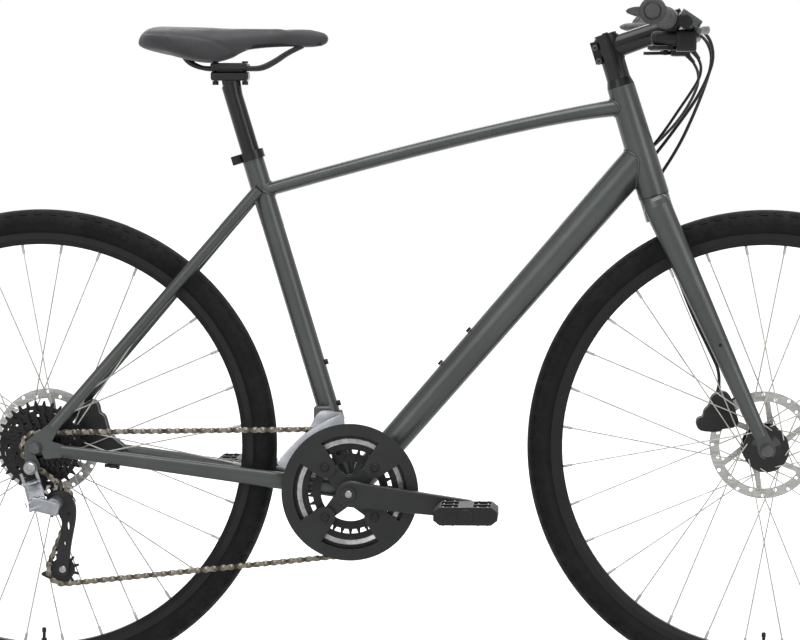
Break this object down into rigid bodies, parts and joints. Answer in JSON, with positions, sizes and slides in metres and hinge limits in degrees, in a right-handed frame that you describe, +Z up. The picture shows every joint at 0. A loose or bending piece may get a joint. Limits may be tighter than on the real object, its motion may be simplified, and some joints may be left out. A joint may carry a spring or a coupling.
{
  "type": "hybrid bicycle",
  "caption": "Flat-bar hybrid bicycle with a sloping tubed frame, rigid fork, spoked disc-brake wheels, guarded crankset and derailleur gears",
  "frame": {"origin": "on the ground under the middle of the wheel base, in the bicycle's middle plane", "axes": "+X forward, +Y to the rider's left, +Z up"},
  "size_m": [1.776, 0.6302, 0.9994],
  "materials": {
    "frame_paint": "satin metallic paint",
    "black_alloy": "gloss black",
    "black_plastic": "moulded",
    "silver_alloy": "satin",
    "grey_alloy": "satin",
    "steel": "bright",
    "dark_steel": "blackened",
    "tyre": "moulded rubber",
    "rubber": "matte",
    "saddle_cover": "matte synthetic cover over foam"
  },
  "bodies": {
    "frame": {"head_tube": "frame_paint", "top_tube": "frame_paint", "down_tube": "frame_paint", "seat_tube": "frame_paint", "bottom_bracket_shell": "frame_paint", "chain_stays": "frame_paint", "seat_stays": "frame_paint", "frame_bearings": "steel", "seat_clamp": "black_alloy", "bottle_bolts": "steel", "rear_caliper": "grey_alloy", "front_derailleur": "silver_alloy", "derailleur_knuckle": "silver_alloy", "chain": "steel", "frame_cables": "rubber", "rear_axle": "steel"},
    "front_derailleur_cage": {"front_derailleur_cage": "silver_alloy"},
    "derailleur_link": {"derailleur_link": "silver_alloy"},
    "derailleur_body": {"derailleur_body": "silver_alloy"},
    "derailleur_cage": {"derailleur_cage": "black_alloy"},
    "guide_pulley": {"guide_pulley": "black_plastic"},
    "tension_pulley": {"tension_pulley": "black_plastic"},
    "rear_quick_release": {"rear_quick_release": "silver_alloy"},
    "fork": {"fork_crown": "frame_paint", "fork_legs": "frame_paint", "headset_spacers": "black_alloy", "stem": "black_alloy", "handlebar": "black_alloy", "grips": "rubber", "control_bodies": "black_plastic", "front_caliper": "grey_alloy", "front_brake_hose": "rubber", "front_axle": "steel"},
    "front_quick_release": {"front_quick_release": "silver_alloy"},
    "brake_lever_left": {"brake_lever_left": "grey_alloy"},
    "brake_lever_right": {"brake_lever_right": "grey_alloy"},
    "shift_trigger_left": {"shift_trigger_left": "black_plastic"},
    "shift_trigger_right": {"shift_trigger_right": "black_plastic"},
    "front_wheel": {"front_tyre": "tyre", "front_rim": "black_alloy", "front_spokes": "steel", "front_hub": "black_alloy", "front_rotor": "steel"},
    "rear_wheel": {"rear_tyre": "tyre", "rear_rim": "black_alloy", "rear_spokes": "steel", "rear_hub": "black_alloy", "rear_rotor": "steel", "cassette": "dark_steel"},
    "crankset": {"chainrings": "steel", "chain_guard": "black_plastic", "crank_arms": "black_alloy", "crank_axles": "steel"},
    "pedal_right": {"pedal_right": "black_plastic"},
    "pedal_left": {"pedal_left": "black_plastic"},
    "seat": {"seatpost": "black_alloy", "saddle_rails": "steel", "saddle_shell": "black_plastic", "saddle_cushion": "saddle_cover"}
  },
  "joints": [
    {"name": "steering", "type": "hinge", "parent": "frame", "child": "fork", "pos_m": [0.48576, 0, 0.351], "axis": [-0.2924, 0, 0.9563], "range_deg": [-70, 70], "deforming": ["frame_cables"]},
    {"name": "front_wheel_spin", "type": "hinge", "parent": "fork", "child": "front_wheel", "pos_m": [0.537, 0, 0.351], "axis": [0, 1, 0], "continuous": true},
    {"name": "rear_wheel_spin", "type": "hinge", "parent": "frame", "child": "rear_wheel", "pos_m": [-0.537, 0, 0.351], "axis": [0, 1, 0], "continuous": true, "deforming": ["chain"]},
    {"name": "crank_spin", "type": "hinge", "parent": "frame", "child": "crankset", "pos_m": [-0.0739, 0, 0.287], "axis": [0, 1, 0], "continuous": true, "deforming": ["chain"]},
    {"name": "guide_pulley_spin", "type": "hinge", "parent": "derailleur_cage", "child": "guide_pulley", "pos_m": [-0.506, -0.0615, 0.271], "axis": [0, 1, 0], "continuous": true, "deforming": ["chain"]},
    {"name": "tension_pulley_spin", "type": "hinge", "parent": "derailleur_cage", "child": "tension_pulley", "pos_m": [-0.49862, -0.0615, 0.17127], "axis": [0, 1, 0], "continuous": true, "deforming": ["chain"]},
    {"name": "pedal_right_spin", "type": "hinge", "parent": "crankset", "child": "pedal_right", "pos_m": [0.09979, -0.13, 0.26567], "axis": [0, 1, 0], "continuous": true},
    {"name": "pedal_left_spin", "type": "hinge", "parent": "crankset", "child": "pedal_left", "pos_m": [-0.2476, 0.13, 0.30833], "axis": [0, 1, 0], "continuous": true},
    {"name": "derailleur_shift", "type": "hinge", "parent": "frame", "child": "derailleur_link", "pos_m": [-0.541, -0.0775, 0.298], "axis": [0.9438, 0.1358, 0.3014], "range_deg": [0, 54], "stiffness_Nm_per_rad": 0.4, "springref_deg": -45.84, "deforming": ["chain"]},
    {"name": "derailleur_level", "type": "hinge", "parent": "derailleur_link", "child": "derailleur_body", "pos_m": [-0.52951, -0.10711, 0.27537], "axis": [0.9438, 0.1358, 0.3014], "range_deg": [-54, 0], "deforming": ["chain"]},
    {"name": "cage_swing", "type": "hinge", "parent": "derailleur_body", "child": "derailleur_cage", "pos_m": [-0.506, -0.0615, 0.271], "axis": [0, -1, 0], "range_deg": [0, 20], "stiffness_Nm_per_rad": 0.4, "springref_deg": -34.38, "deforming": ["chain"]},
    {"name": "front_shift", "type": "slide", "parent": "frame", "child": "front_derailleur_cage", "axis": [0, 1, 0], "range_m": [0, 0.009], "deforming": ["chain"]},
    {"name": "rear_release_lever", "type": "hinge", "parent": "frame", "child": "rear_quick_release", "pos_m": [-0.537, 0.0855, 0.351], "axis": [-0.8, 0, 0.6], "range_deg": [0, 170]},
    {"name": "front_release_lever", "type": "hinge", "parent": "fork", "child": "front_quick_release", "pos_m": [0.537, 0.069, 0.351], "axis": [-0.9371, 0, -0.3489], "range_deg": [0, 170]},
    {"name": "brake_squeeze_left", "type": "hinge", "parent": "fork", "child": "brake_lever_left", "pos_m": [0.42706, 0.131, 0.96224], "axis": [0, 0, 1], "range_deg": [0, 18], "stiffness_Nm_per_rad": 1.5, "springref_deg": -17.19},
    {"name": "brake_squeeze_right", "type": "hinge", "parent": "fork", "child": "brake_lever_right", "pos_m": [0.42706, -0.131, 0.96224], "axis": [0, 0, -1], "range_deg": [0, 18], "stiffness_Nm_per_rad": 1.5, "springref_deg": -17.19},
    {"name": "shift_press_left", "type": "hinge", "parent": "fork", "child": "shift_trigger_left", "pos_m": [0.39193, 0.126, 0.93602], "axis": [0, 0, -1], "range_deg": [0, 20], "stiffness_Nm_per_rad": 0.4, "springref_deg": -17.19},
    {"name": "shift_press_right", "type": "hinge", "parent": "fork", "child": "shift_trigger_right", "pos_m": [0.39193, -0.126, 0.93602], "axis": [0, 0, 1], "range_deg": [0, 20], "stiffness_Nm_per_rad": 0.4, "springref_deg": -17.19},
    {"name": "seatpost_slide", "type": "slide", "parent": "frame", "child": "seat", "axis": [-0.289, 0, 0.9573], "range_m": [-0.06, 0.06]}
  ],
  "couplings": [
    {"joint": "crank_spin", "follows": "rear_wheel_spin", "ratio": 0.23913},
    {"joint": "guide_pulley_spin", "follows": "rear_wheel_spin", "ratio": -1},
    {"joint": "tension_pulley_spin", "follows": "rear_wheel_spin", "ratio": 1},
    {"joint": "derailleur_level", "follows": "derailleur_shift", "ratio": -1}
  ]
}
